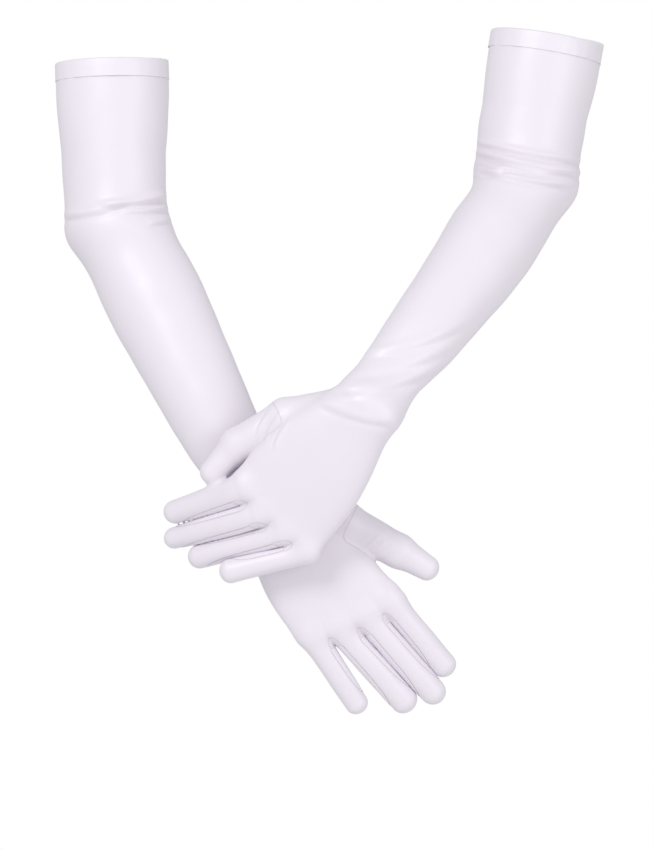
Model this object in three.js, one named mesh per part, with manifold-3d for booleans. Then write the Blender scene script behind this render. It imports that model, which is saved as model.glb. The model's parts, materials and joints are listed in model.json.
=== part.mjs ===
// A pair of opera gloves in the shape they take when worn: hollow, with the left hand laid across the
// right wrist. Millimetres, +Z up. The origin is the centre of the right glove's top rim. +X runs from
// the right glove to the left one, and -Y is the side that the backs of both hands face.

import * as THREE from 'three';
import { mergeVertices } from 'three/addons/utils/BufferGeometryUtils.js';
import loadManifold from 'manifold-3d';

const { clamp, degToRad, lerp, radToDeg } = THREE.MathUtils;

// Fabric and the gaps between pieces.
const FABRIC = 1; // wall of every tube of fabric
const LAYER_GAP = 0.3; // between two layers that lie on each other
const JOINT_GAP = 1; // between two tubes where they meet at a joint
const FOLD_MARGIN = 5; // degrees added to half of each joint's fold
const KNUCKLE_GAP = 3; // from the line of the finger roots back to the palm's edge
const KNUCKLE_ARCH = 3; // how far that line bows forward between index and little finger
const THUMB_GAP = 0.8; // between the hand and the thumb's swing

// The turned hem at the top of each glove, and the elastic that runs inside it.
const HEM_HEIGHT = 13;
const HEM_TOP = 1;
const ELASTIC_WIDTH = 9;
const ELASTIC_THICKNESS = 1;

// The strips sewn between the fingers, called fourchettes.
const FOURCHETTE_THICKNESS = 0.5;
const FOURCHETTE_SPREAD = 28; // degrees round the finger, each way from its side
const FOURCHETTE_REACH = 0.62; // share of the finger's end segment that the strip covers

// Facets.
const SLEEVE_SIDES = 24;
const HAND_SIDES = 32;
const FINGER_SIDES = 12;
const DOME_ROWS = 4;

const PALMWARD = new THREE.Vector3(0, 1, 0);

const point = (x, y, z) => new THREE.Vector3(x, y, z);

// Half of the width and of the depth of each finger, at its root and near its tip, and how far along
// the finger its middle knuckle is.
const FINGERS = {
  index: { root: [7.2, 8.2], end: [6.5, 7], knuckle: 0.48 },
  middle: { root: [7.2, 8.2], end: [6.5, 7], knuckle: 0.48 },
  ring: { root: [7.1, 8], end: [6.3, 6.8], knuckle: 0.48 },
  little: { root: [6.6, 7.3], end: [5.8, 6.3], knuckle: 0.46 },
};

// Which sides of each finger carry a fourchette.
const FOURCHETTE_SIDES = {
  index: ['ulnar'],
  middle: ['radial', 'ulnar'],
  ring: ['radial', 'ulnar'],
  little: ['radial'],
};

// Each glove's landmarks. An arm section is a centre, half of its width and half of its depth.
// acrossSign tells which way the thumb lies: 1 where the thumb's side of a cross-section is its
// across direction, and -1 where it is the opposite one. Ranges are in degrees, and fold palmward
// when positive.
const GLOVES = {
  right: {
    acrossSign: -1,
    rimNormal: point(0.077, 0, -0.997),
    upperArm: [
      [point(0, 0, 0), 41.4, 39],
      [point(0.6, 0, -38), 39.8, 38],
      [point(1.5, 0, -72), 36.8, 36.5],
    ],
    elbow: [point(2, 0, -117), 36, 36],
    forearm: [
      [point(15, -5, -140), 36, 35.5],
      [point(31, -13.5, -172), 36, 34.5],
      [point(50.5, -23, -210), 33.3, 31.5],
      [point(70, -33, -250), 30, 27.5],
      [point(89, -41.5, -284), 26.8, 22.5],
    ],
    wrist: [point(113, -52, -324), 25.5, 18.5],
    palm: [
      [point(127, -51.5, -343), 27.5, 17],
      [point(144, -50.5, -364), 34, 15.5],
      [point(162, -50, -386), 37, 13],
    ],
    knuckles: [point(175.7, -50, -404.4), 38, 10.5],
    knuckleNormal: point(0.43, 0, -0.9),
    fingers: {
      index: [point(203.4, -50, -391.2), point(242.5, -38, -437.4)],
      middle: [point(188.9, -50, -402.9), point(235, -39, -456.9)],
      ring: [point(168.3, -50, -411.1), point(215.3, -40, -462.9)],
      little: [point(148, -50, -417.5), point(179.1, -41, -465.5)],
    },
    thumb: {
      inside: [point(140, -50, -342), 11, 11],
      root: [point(166, -48, -329.5), 12.5, 12],
      middle: [point(182, -46, -336.5), 11.8, 11.5],
      knuckle: [point(204.8, -44, -350.2), 9.6, 9.6],
      tip: [point(231.8, -42, -366.4), 8.3, 8.3],
    },
    ranges: {
      elbow: [-30, 0],
      wrist: [0, 60],
      finger_root: [-15, 75],
      finger_knuckle: [0, 85],
      thumb_root: [-15, 30],
      thumb_knuckle: [-10, 30],
    },
  },
  left: {
    acrossSign: 1,
    rimNormal: point(-0.094, 0, -0.996),
    upperArm: [
      [point(314, 0, 17.4), 41.4, 39],
      [point(307.5, 0, -18), 39.8, 38],
      [point(301.5, 0, -50), 37, 36.5],
    ],
    elbow: [point(296.5, 0, -80), 36, 36],
    forearm: [
      [point(287, -13, -105), 35.5, 35.5],
      [point(273, -27.5, -128), 34.2, 33.5],
      [point(250.5, -49, -160), 31, 30.5],
      [point(229, -69, -189), 28, 26.5],
      [point(204, -90, -218.5), 24.8, 22],
    ],
    wrist: [point(181, -110, -248.5), 24.5, 18.5],
    palm: [
      [point(167.5, -105, -265), 28, 17],
      [point(150, -98.5, -284), 34, 15.5],
      [point(131.5, -91, -308), 37, 13],
    ],
    knuckles: [point(114.5, -84, -327.5), 38, 10.5],
    knuckleNormal: point(-0.69, 0.18, -0.7),
    fingers: {
      index: [point(91.2, -83.5, -306.7), point(40.8, -51, -325)],
      middle: [point(101.2, -83.5, -325.2), point(40.3, -48, -342.9)],
      ring: [point(117.8, -83.5, -338), point(56.8, -55, -354.3)],
      little: [point(135.3, -83.5, -350.7), point(78.7, -75, -365.9)],
    },
    thumb: {
      inside: [point(150, -98, -263), 12, 11.5],
      root: [point(126, -86, -257), 13.4, 12],
      middle: [point(110.5, -79.5, -258.5), 11.6, 11],
      knuckle: [point(91.5, -75.5, -275.5), 9.5, 9.2],
      tip: [point(67.8, -73.5, -300), 7.8, 7.8],
    },
    ranges: {
      elbow: [0, 65],
      wrist: [-50, 0],
      finger_root: [-20, 0],
      finger_knuckle: [-25, 0],
      thumb_root: [-20, 0],
      thumb_knuckle: [-10, 0],
    },
  },
};

const wasm = await loadManifold();
wasm.setup();

const satin = new THREE.MeshStandardMaterial({ color: 0xece8f0, roughness: 0.42 });
const elasticTape = new THREE.MeshStandardMaterial({ color: 0xf4f4f2, roughness: 0.85 });

// --- Limbs ---------------------------------------------------------------------------------------

// A cross-section of a limb. normal points along the limb, palmward to the side that folds inward.
function section([centre, halfWidth, halfDepth], normal, palmward = PALMWARD, squareness = 2) {
  const across = palmward.clone().cross(normal).normalize();
  const depthward = normal.clone().cross(across).normalize();
  return { centre, across, palmward: depthward, halfWidth, halfDepth, squareness };
}

const directionBetween = (from, to) => to.clone().sub(from).normalize();

// The direction in which a limb passes through a point: halfway between its two stretches.
function directionThrough(before, at, after) {
  return directionBetween(before, at).add(directionBetween(at, after)).normalize();
}

// A row of cross-sections, and the shape between them.
class Limb {
  constructor(sections) {
    this.sections = sections;
    this.stations = [0];
    for (let i = 1; i < sections.length; i += 1) {
      const step = sections[i].centre.distanceTo(sections[i - 1].centre);
      this.stations.push(this.stations[i - 1] + step);
    }
  }

  get length() {
    return this.stations.at(-1);
  }

  distanceOf(sectionCentre) {
    return this.stations[this.sections.findIndex(({ centre }) => centre === sectionCentre)];
  }

  // The cross-section at a distance along the limb. Past its ends the limb runs straight on.
  at(distance) {
    const before = this.stations.findLastIndex((station) => station <= distance);
    const i = clamp(before, 0, this.sections.length - 2);
    const share = (distance - this.stations[i]) / (this.stations[i + 1] - this.stations[i]);
    const inside = clamp(share, 0, 1);
    const [a, b] = this.sections.slice(i, i + 2);
    return {
      centre: a.centre.clone().lerp(b.centre, share),
      across: a.across.clone().lerp(b.across, inside).normalize(),
      palmward: a.palmward.clone().lerp(b.palmward, inside).normalize(),
      halfWidth: lerp(a.halfWidth, b.halfWidth, inside),
      halfDepth: lerp(a.halfDepth, b.halfDepth, inside),
      squareness: lerp(a.squareness, b.squareness, inside),
    };
  }

  radius(distance) {
    const { halfWidth, halfDepth } = this.at(distance);
    return (halfWidth + halfDepth) / 2;
  }

  // A point at an angle round the limb. reach is 0 on its axis and 1 on its surface.
  point(distance, angle, reach = 1) {
    const { centre, across, palmward, halfWidth, halfDepth, squareness } = this.at(distance);
    const squared = (wave) => Math.sign(wave) * Math.abs(wave) ** (2 / squareness);
    return centre
      .addScaledVector(across, squared(Math.cos(angle)) * halfWidth * reach)
      .addScaledVector(palmward, squared(Math.sin(angle)) * halfDepth * reach);
  }
}

// --- Joints --------------------------------------------------------------------------------------

// A hinge where direction is the way the limb runs and toward the side that it folds to. bend is how
// far the limb is already folded when the hinge stands at zero, in degrees.
function hinge(at, direction, toward, range, bend = 0) {
  const axis = direction.clone().cross(toward).normalize();
  return { at, axis, toward: axis.clone().cross(direction).normalize(), range, bend };
}

// How far the end of a tube stands back from a joint's plane at one point of its edge, so that the
// two tubes stay apart however far the joint folds.
function standBack(joint, edgePoint, gap = JOINT_GAP / 2) {
  const offset = edgePoint.clone().sub(joint.at).dot(joint.toward);
  const fold = offset > 0 ? joint.range[1] : -joint.range[0];
  const folded = Math.max(0, offset) * Math.sin(degToRad(joint.bend / 2));
  return gap + folded + Math.abs(offset) * Math.tan(degToRad(fold / 2 + FOLD_MARGIN));
}

// --- Shapes --------------------------------------------------------------------------------------

// Moves every vertex of a geometry to where place(vertex) says.
function reshape(geometry, place) {
  const positions = geometry.attributes.position;
  const vertex = new THREE.Vector3();
  for (let i = 0; i < positions.count; i += 1) {
    const { x, y, z } = place(vertex.fromBufferAttribute(positions, i));
    positions.setXYZ(i, x, y, z);
  }
  geometry.computeVertexNormals();
  return geometry;
}

// Bends a lathed shape of unit height and radius onto a limb. start and end give the distance along
// the limb of the shape's two ends at each angle round it.
function bendOnto(limb, profile, sides, start, end) {
  return reshape(new THREE.LatheGeometry(profile, sides), ({ x, y, z }) => {
    const angle = Math.atan2(x, z);
    return limb.point(lerp(start(angle), end(angle), y), angle, Math.hypot(x, z));
  });
}

function rowHeights(rows) {
  return Array.from({ length: rows + 1 }, (_, row) => row / rows);
}

// An open tube of fabric on a limb, from one distance to another.
function tube(limb, from, to, { rows, sides, start = () => 0, end = () => 0 }) {
  const inner = (y) => 1 - FABRIC / limb.radius(lerp(from, to, y));
  const heights = rowHeights(rows);
  const outside = heights.map((y) => new THREE.Vector2(1, y));
  const inside = heights.map((y) => new THREE.Vector2(inner(y), y));
  const profile = [...outside, ...inside.reverse(), outside[0].clone()];
  return bendOnto(
    limb,
    profile,
    sides,
    (angle) => from + start(angle),
    (angle) => to - end(angle),
  );
}

// A tube of fabric that ends in a dome at the end of its limb.
function domedTube(limb, from, { rows, sides, start }) {
  const length = limb.length - from;
  const radius = limb.radius(limb.length);
  const shoulder = 1 - (1.1 * radius) / length;
  const outside = rowHeights(rows).map((y) => new THREE.Vector2(1, y * shoulder));
  for (let row = 1; row <= DOME_ROWS; row += 1) {
    const turn = (row / DOME_ROWS) * (Math.PI / 2);
    const reach = row === DOME_ROWS ? 0 : Math.cos(turn);
    outside.push(new THREE.Vector2(reach, lerp(shoulder, 1, Math.sin(turn))));
  }
  const inner = 1 - FABRIC / radius;
  const innerTop = 1 - FABRIC / length;
  const inside = outside.map(({ x, y }) => new THREE.Vector2(x * inner, y * innerTop));
  return bendOnto(
    limb,
    [...inside.reverse(), ...outside],
    sides,
    (angle) => from + start(angle),
    () => limb.length,
  );
}

// The whole volume of a limb between two distances, larger than the limb by swell all round.
function filledLimb(limb, from, to, { rows, sides, swell = 0 }) {
  const reach = (y) => 1 + swell / limb.radius(lerp(from, to, y));
  const side = rowHeights(rows).map((y) => new THREE.Vector2(reach(y), y));
  const profile = [new THREE.Vector2(0, 0), ...side, new THREE.Vector2(0, 1)];
  return bendOnto(limb, profile, sides, () => from, () => to);
}

function toManifold(geometry) {
  const bare = geometry.clone();
  bare.deleteAttribute('normal');
  bare.deleteAttribute('uv');
  const merged = mergeVertices(bare, 1e-3);
  const corners = merged.index.array;
  const kept = [];
  for (let i = 0; i < corners.length; i += 3) {
    const [a, b, c] = corners.slice(i, i + 3);
    if (a !== b && b !== c && c !== a) kept.push(a, b, c);
  }
  return new wasm.Manifold(new wasm.Mesh({
    numProp: 3,
    vertProperties: new Float32Array(merged.attributes.position.array),
    triVerts: new Uint32Array(kept),
  }));
}

function fromManifold(solid) {
  const { vertProperties, triVerts } = solid.getMesh();
  const geometry = new THREE.BufferGeometry();
  geometry.setAttribute('position', new THREE.BufferAttribute(vertProperties, 3));
  geometry.setIndex(new THREE.BufferAttribute(triVerts, 1));
  geometry.computeVertexNormals();
  return geometry;
}

// --- The scene graph -----------------------------------------------------------------------------

const gloves = new THREE.Group();
gloves.name = 'opera_gloves';

// A group that turns about a hinge, inside the group that it turns against.
function hingedGroup(parent, name, joint) {
  const group = new THREE.Group();
  group.name = name;
  group.position.copy(joint.at);
  group.userData = { axis: joint.axis, range: joint.range };
  parent.attach(group);
  return group;
}

// Adds a piece that is already in its place to a group.
function addPiece(group, name, geometry, material = satin) {
  const mesh = new THREE.Mesh(geometry, material);
  mesh.name = name;
  group.attach(mesh);
}

// --- The sleeve ----------------------------------------------------------------------------------

// The arm of a glove, from its rim to the line of the finger roots.
function armLimb(glove) {
  const { upperArm, elbow, forearm, wrist, palm, knuckles } = glove;
  const rows = [...upperArm, elbow, ...forearm, wrist, ...palm, knuckles];
  const centres = rows.map(([centre]) => centre);
  const firstPalm = rows.indexOf(palm[0]);
  return new Limb(rows.map((row, i) => {
    if (i === 0) return section(row, glove.rimNormal);
    if (row === knuckles) return section(row, glove.knuckleNormal, PALMWARD, 3.5);
    const direction = directionThrough(centres[i - 1], centres[i], centres[i + 1]);
    const squareness = 2 + Math.max(0, i - firstPalm + 1) * 0.4;
    return section(row, direction, PALMWARD, squareness);
  }));
}

// The hem is the top of the sleeve turned inward: two layers joined along the rim.
function hem(limb) {
  const reach = (depth) => 1 - depth / limb.radius(0);
  const channel = FABRIC + ELASTIC_THICKNESS + 2 * LAYER_GAP;
  const layers = [0, channel + FABRIC, channel, FABRIC].map(reach);
  const [outer, inner, channelInner, channelOuter] = layers;
  const floor = HEM_TOP / HEM_HEIGHT;
  const outline = [
    [outer, 1],
    [channelOuter, 1],
    [channelOuter, floor],
    [channelInner, floor],
    [channelInner, 1],
    [inner, 1],
    [inner, 0],
    [outer, 0],
    [outer, 1],
  ];
  const profile = outline.map(([x, y]) => new THREE.Vector2(x, y));
  return bendOnto(limb, profile, SLEEVE_SIDES, () => 0, () => HEM_HEIGHT);
}

function elastic(limb) {
  const reach = (depth) => 1 - depth / limb.radius(0);
  const outer = reach(FABRIC + LAYER_GAP);
  const inner = reach(FABRIC + LAYER_GAP + ELASTIC_THICKNESS);
  const outline = [[outer, 0], [outer, 1], [inner, 1], [inner, 0], [outer, 0]];
  const profile = outline.map(([x, y]) => new THREE.Vector2(x, y));
  const top = HEM_TOP + LAYER_GAP;
  return bendOnto(limb, profile, SLEEVE_SIDES, () => top, () => top + ELASTIC_WIDTH);
}

// A stretch of the arm between two joints. Its ends stand back from the joints that it has.
function armTube(limb, from, to, shape, startJoint, endJoint) {
  const clearOf = (joint, distance) => (angle) => standBack(joint, limb.point(distance, angle));
  const ends = { ...shape };
  if (startJoint) ends.start = clearOf(startJoint, from);
  if (endJoint) ends.end = clearOf(endJoint, to);
  return tube(limb, from, to, ends);
}

// --- The hand ------------------------------------------------------------------------------------

// The palm and back of the hand, open at the wrist, at the finger roots and at the thumb's hole.
function hand(glove, arm, wristJoint, thumb) {
  const from = arm.distanceOf(glove.wrist[0]);
  const rootLine = {
    at: glove.knuckles[0],
    toward: arm.at(arm.length).palmward,
    range: glove.ranges.finger_root,
    bend: 0,
  };
  const shell = tube(arm, from, arm.length, {
    rows: 8,
    sides: HAND_SIDES,
    start: (angle) => standBack(wristJoint, arm.point(from, angle)),
    end: (angle) => {
      const bow = KNUCKLE_ARCH * (1 - Math.cos(angle) ** 2);
      return standBack(rootLine, arm.point(arm.length, angle), KNUCKLE_GAP) - bow;
    },
  });
  const plug = filledLimb(thumb.limb, 0, thumb.limb.length / 2, { rows: 4, sides: 16 });
  return fromManifold(toManifold(shell).subtract(toManifold(plug)));
}

// A finger's limb and its two hinges.
function finger(glove, name) {
  const { root, end, knuckle } = FINGERS[name];
  const [base, tip] = glove.fingers[name];
  const direction = directionBetween(base, tip);
  const bend = base.clone().lerp(tip, knuckle);
  const middle = root.map((half, i) => lerp(half, end[i], knuckle));
  const limb = new Limb([
    section([base, ...root], direction),
    section([bend, ...middle], direction),
    section([tip, ...end], direction),
  ]);
  const { palmward } = limb.sections[0];
  return {
    limb,
    root: hinge(base, direction, palmward, glove.ranges.finger_root),
    knuckle: hinge(bend, direction, palmward, glove.ranges.finger_knuckle),
  };
}

// A strip on one side of a finger, from one distance to another. It narrows towards its far end.
function fourchette(glove, { limb }, side, from, to, start, end) {
  const sideAngle = (side === 'radial') === (glove.acrossSign > 0) ? 0 : Math.PI;
  const spread = degToRad(FOURCHETTE_SPREAD);
  return reshape(new THREE.BoxGeometry(2, 1, 1, 2, 3, 1), ({ x, y, z }) => {
    const share = y + 0.5;
    const angle = sideAngle + x * spread * lerp(1, 0.7, share);
    const distance = lerp(from + start(angle), to - end(angle), share);
    const lift = LAYER_GAP + (z + 0.5) * FOURCHETTE_THICKNESS;
    return limb.point(distance, angle, 1 + lift / limb.radius(distance));
  });
}

// One finger: two tubes that meet at the middle knuckle, and the strips on its sides.
function addFinger(glove, prefix, handGroup, name) {
  const parts = finger(glove, name);
  const { limb, root, knuckle } = parts;
  const bend = limb.distanceOf(knuckle.at);
  const clearOf = (joint, distance) => (angle) => standBack(joint, limb.point(distance, angle));
  const atRoot = clearOf(root, 0);
  const atKnuckle = clearOf(knuckle, bend);

  const base = hingedGroup(handGroup, `${prefix}_${name}_root`, root);
  const tip = hingedGroup(base, `${prefix}_${name}_knuckle`, knuckle);
  const shape = { sides: FINGER_SIDES, rows: 2 };
  addPiece(base, `${prefix}_${name}_base`, tube(limb, 0, bend, { ...shape, start: atRoot, end: atKnuckle }));
  addPiece(tip, `${prefix}_${name}_tip`, domedTube(limb, bend, { ...shape, start: atKnuckle }));

  const stripEnd = lerp(bend, limb.length, FOURCHETTE_REACH);
  for (const side of FOURCHETTE_SIDES[name]) {
    const strip = `${prefix}_${name}_${side}_fourchette`;
    addPiece(base, `${strip}_base`, fourchette(glove, parts, side, 0, bend, atRoot, atKnuckle));
    addPiece(tip, `${strip}_tip`, fourchette(glove, parts, side, bend, stripEnd, atKnuckle, () => 0));
  }
}

// --- The thumb -----------------------------------------------------------------------------------

// The thumb's limb starts inside the hand. Its root swings mostly palmward and partly towards the
// index finger, and its knuckle folds halfway between those two ways.
function thumbParts(glove) {
  const { inside, root, middle, knuckle, tip } = glove.thumb;
  const rows = [inside, root, middle, knuckle, tip];
  const centres = rows.map(([centre]) => centre);
  const limb = new Limb(rows.map((row, i) => {
    const before = centres[Math.max(0, i - 1)];
    const after = centres[Math.min(centres.length - 1, i + 1)];
    return section(row, directionBetween(before, after));
  }));
  const direction = directionBetween(root[0], tip[0]);
  const towardFingers = directionBetween(tip[0], glove.fingers.index[1]);
  const pinch = towardFingers.clone().add(PALMWARD).normalize();
  const oppose = pinch.clone().add(PALMWARD).normalize();
  return {
    limb,
    root: hinge(root[0], direction, oppose, glove.ranges.thumb_root),
    knuckle: hinge(knuckle[0], directionBetween(knuckle[0], tip[0]), pinch, glove.ranges.thumb_knuckle),
  };
}

// Takes away from a piece all that an obstacle would meet while the piece turns about its joint.
function clearSwing(piece, obstacle, { at, axis, range }) {
  const stops = 8;
  let solid = toManifold(piece);
  for (let stop = 0; stop <= stops; stop += 1) {
    const turn = -degToRad(lerp(range[0], range[1], stop / stops));
    const turned = obstacle.clone()
      .translate(-at.x, -at.y, -at.z)
      .applyQuaternion(new THREE.Quaternion().setFromAxisAngle(axis, turn))
      .translate(at.x, at.y, at.z);
    solid = solid.subtract(toManifold(turned));
  }
  return fromManifold(solid);
}

function addThumb(glove, prefix, handGroup, arm, { limb, root, knuckle }) {
  const bend = limb.distanceOf(knuckle.at);
  const atKnuckle = (angle) => standBack(knuckle, limb.point(bend, angle));
  const wrist = arm.distanceOf(glove.wrist[0]);
  const palm = filledLimb(arm, wrist, arm.length, { rows: 8, sides: HAND_SIDES, swell: THUMB_GAP });
  const whole = tube(limb, 0, bend, { rows: 5, sides: 16, end: atKnuckle });

  const base = hingedGroup(handGroup, `${prefix}_thumb_root`, root);
  const tip = hingedGroup(base, `${prefix}_thumb_knuckle`, knuckle);
  addPiece(base, `${prefix}_thumb_base`, clearSwing(whole, palm, root));
  addPiece(tip, `${prefix}_thumb_tip`, domedTube(limb, bend, { rows: 2, sides: 16, start: atKnuckle }));
}

// --- The gloves ----------------------------------------------------------------------------------

function addGlove(parent, prefix, glove) {
  const arm = armLimb(glove);
  const elbowAt = arm.distanceOf(glove.elbow[0]);
  const wristAt = arm.distanceOf(glove.wrist[0]);

  const upper = directionBetween(glove.upperArm[0][0], glove.elbow[0]);
  const lower = directionBetween(glove.elbow[0], glove.wrist[0]);
  const along = upper.clone().add(lower).normalize();
  const bend = radToDeg(upper.angleTo(lower));
  const elbow = hinge(glove.elbow[0], along, lower.clone().sub(upper), glove.ranges.elbow, bend);
  const through = arm.at(wristAt);
  const alongWrist = through.across.clone().cross(through.palmward);
  const wrist = hinge(glove.wrist[0], alongWrist, through.palmward, glove.ranges.wrist);
  const thumb = thumbParts(glove);

  const sleeve = { rows: 6, sides: SLEEVE_SIDES };
  addPiece(parent, `${prefix}_cuff_hem`, hem(arm));
  addPiece(parent, `${prefix}_cuff_elastic`, elastic(arm), elasticTape);
  const sleeveTop = HEM_HEIGHT + LAYER_GAP;
  addPiece(parent, `${prefix}_upper_sleeve`, armTube(arm, sleeveTop, elbowAt, sleeve, null, elbow));

  const forearmGroup = hingedGroup(parent, `${prefix}_elbow`, elbow);
  const forearm = armTube(arm, elbowAt, wristAt, sleeve, elbow, wrist);
  addPiece(forearmGroup, `${prefix}_forearm_sleeve`, forearm);

  const handGroup = hingedGroup(forearmGroup, `${prefix}_wrist`, wrist);
  addPiece(handGroup, `${prefix}_hand`, hand(glove, arm, wrist, thumb));
  for (const name of Object.keys(FINGERS)) addFinger(glove, prefix, handGroup, name);
  addThumb(glove, prefix, handGroup, arm, thumb);
}

for (const [prefix, glove] of Object.entries(GLOVES)) {
  const root = new THREE.Group();
  root.name = `${prefix}_glove`;
  gloves.add(root);
  addGlove(root, prefix, glove);
}

export default gloves;
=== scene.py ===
"""Opera gloves: satin surfaces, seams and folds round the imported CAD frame.

Lengths inside this script are in millimetres in the row frame (+Z up, -Y towards the viewer) and
become metres only where a Blender object is made.
"""
import json
import math

import bmesh
import bpy
import numpy as np
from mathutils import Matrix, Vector


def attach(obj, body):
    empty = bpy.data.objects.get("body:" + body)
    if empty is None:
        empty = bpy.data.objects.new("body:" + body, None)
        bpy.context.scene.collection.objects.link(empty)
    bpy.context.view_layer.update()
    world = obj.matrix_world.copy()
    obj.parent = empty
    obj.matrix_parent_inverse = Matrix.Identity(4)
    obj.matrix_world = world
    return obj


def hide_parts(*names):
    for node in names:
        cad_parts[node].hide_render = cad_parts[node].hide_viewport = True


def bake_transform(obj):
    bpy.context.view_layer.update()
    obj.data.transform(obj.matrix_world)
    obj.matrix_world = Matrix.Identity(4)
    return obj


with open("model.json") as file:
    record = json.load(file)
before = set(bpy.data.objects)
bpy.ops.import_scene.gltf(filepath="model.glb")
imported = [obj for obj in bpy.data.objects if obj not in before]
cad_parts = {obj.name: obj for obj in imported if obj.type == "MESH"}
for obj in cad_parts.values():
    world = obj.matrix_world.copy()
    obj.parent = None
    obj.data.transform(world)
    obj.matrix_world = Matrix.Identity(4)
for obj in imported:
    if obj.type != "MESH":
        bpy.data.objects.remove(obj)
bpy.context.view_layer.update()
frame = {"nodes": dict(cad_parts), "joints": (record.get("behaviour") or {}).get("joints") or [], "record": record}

MM = 0.001

# Fabric, in millimetres.
THICKNESS = 0.6
HEM_THICKNESS = 0.4
HEM_HEIGHT = 13.0
HEM_INSET = 3.0
HEM_PUCKER = 0.12
# The section of the hem: how far out from the sleeve, and how far down from the rim.
HEM_OUTLINE = (
    (0.35, HEM_HEIGHT),
    (0.35, 6.0),
    (0.35, 1.2),
    (-0.05, 0.4),
    (-0.75, 0.0),
    (-1.45, 0.4),
    (-1.85, 1.2),
    (-1.85, HEM_HEIGHT),
)

# Mesh spacing, in millimetres. A first look at a field is COARSE times coarser, and the field is worked
# out finely up to NEAR_SURFACE of its steps from the surface.
SLEEVE_STEP = 1.5
HAND_STEP = 1.2
FINGER_STEP = 0.9
COARSE = 4
NEAR_SURFACE = 1.8
RELAX_ROUNDS = 2
HEM_SIDES = 160

# The room that a mesh has round its landmarks, and how far the last landmark lies past its cut.
SLEEVE_ROOM = 46
HAND_ROOM = 30
FINGER_ROOM = 13
SLEEVE_PAST_CUT = 6
HAND_PAST_CUT = 4
FINGER_PAST_CUT = 6

# How far each melt rounds the corner between two volumes.
ELBOW_MELT = 22
WRIST_MELT = 22
FINGER_MELT = 15
THUMB_MELT = 7
THUMB_JOINT_MELT = 7
THUMB_SEAM_MELT = 12

# Volumes, in millimetres. Widths and depths are halves.
ARM_CAP = 0.75
ARM_PAST_RIM = 20
# What the arms lose of their width at the elbow, and of their width and depth at the wrist.
UPPER_NARROWING = 0.06
FOREARM_NARROWING = 0.07
WRIST_NARROWING = 0.13
WRIST_FLATTENING = 0.32
PALM_STATIONS = (0.0, 0.25, 0.5, 0.75, 1.0)
PALM_HEEL_WIDTH = 30
PALM_DEPTHS = (15.5, 14, 12, 10.5)
PALM_SQUARENESS = 2.3
PALM_BESIDE_ROOTS = 8
PALM_SHORT_OF_ROOTS = 12
FINGER_START = 12
FINGER_CLEARANCE = 0.4
FINGER_SPREAD = 1.2
# Half of the thickness of each finger at its root and near its tip.
FINGER_SIZE = {"index": (9.4, 8.8), "middle": (9.4, 9.0), "ring": (9.2, 8.8), "little": (8.4, 7.8)}
# The half width and the half depth of each length of the thumb, at its start and its end.
THUMB_SIZES = (
    ((15.5, 15), (15, 13.5)),
    ((14.6, 12.2), (13, 10.8)),
    ((11.6, 8.9), (10.2, 8.2)),
)
THUMB_INNER_SHARE = 0.34
THUMB_INNER_DEPTH = 3.0
THUMB_TIP_LENGTH = 8

# Where one piece ends and the next begins, in millimetres along the limb.
HAND_ABOVE_WRIST = 62
CROTCH_LIFT = 3
TIP_ABOVE_KNUCKLE = 9
THUMB_SEAM_PAST_ROOT = 3
THUMB_SEAM_SHIFT = 2.5
THUMB_CUT_PAST_MIDDLE = 3
OVERLAP = 0.03

# Distances along the limb from a joint or a seam, which give the two points handed to bend with each piece.
ELBOW_BEND = 28
WRIST_BEND = 24
FINGER_BEND = 15
THUMB_BEND = 12
THUMB_BEND_BACK = 4
KNUCKLE_BEND = 8

# Fourchettes and seams.
# How much the colour is darkened along seams: painted shade for the seams' grooves.
SEAM_PAINTED_SHADE = 0.9
STRIP_ANGLE = math.radians(50)
STRIP_LIFT = 0.2
STRIP_SHORT_OF_TIP = 4
STRIP_CLOSING = 6
WEB_HALF_WIDTH = 3.4
WEB_LENGTH = 8.0
FAR_FROM_SEAMS = 99.0

# Light, floor and camera, in metres and watts.
AMBIENT_LIGHT = 0.64
KEY_PLACE = (-0.6, -1.5, 0.7)
KEY_SIZE = 0.7
KEY_POWER = 13.0
FILL_PLACE = (1.2, -1.2, -0.1)
FILL_SIZE = 0.9
FILL_POWER = 5.0
MIDDLE = (0.154, -0.04, -0.23)
CAMERA_LENS = 147
CAMERA_PLACE = (0.154, -2.5, -0.261)
FLOOR_PLACE = (0.154, -0.04, -0.75)
FLOOR_RADIUS = 1.2
FLOOR_SIDES = 96

SIDES = ("right", "left")
FINGERS = ("index", "middle", "ring", "little")
GAPS = (("index", "middle"), ("middle", "ring"), ("ring", "little"))

JOINTS = {joint["name"]: joint for joint in frame["joints"]}
MOUNTS = {mount["name"]: mount for mount in frame["record"]["mounts"]}
PALMWARD = np.array([0.0, 1.0, 0.0])


# --- Small vector helpers ---------------------------------------------------------------------------


def unit(vector):
    return vector / np.linalg.norm(vector, axis=-1, keepdims=True)


def without(vector, direction):
    """The part of a vector square to a direction, at unit length."""
    return unit(vector - np.dot(vector, direction) * direction)


def smoothstep(low, high, value):
    share = np.clip((value - low) / (high - low), 0, 1)
    return share * share * (3 - 2 * share)


def melt(a, b, reach):
    """The union of two distance fields, with the corner between them rounded over reach."""
    near = np.maximum(reach - np.abs(a - b), 0) / reach
    return np.minimum(a, b) - near**3 * reach / 6


# --- What the frame says ----------------------------------------------------------------------------


def joint_at(name):
    return np.array(JOINTS[name]["pos_m"]) / MM


def mount_at(name):
    return np.array(MOUNTS[name]["pos_m"]) / MM


def node_points(node):
    mesh = frame["nodes"][node].data
    points = np.empty(len(mesh.vertices) * 3)
    mesh.vertices.foreach_get("co", points)
    return points.reshape(-1, 3) / MM


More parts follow.
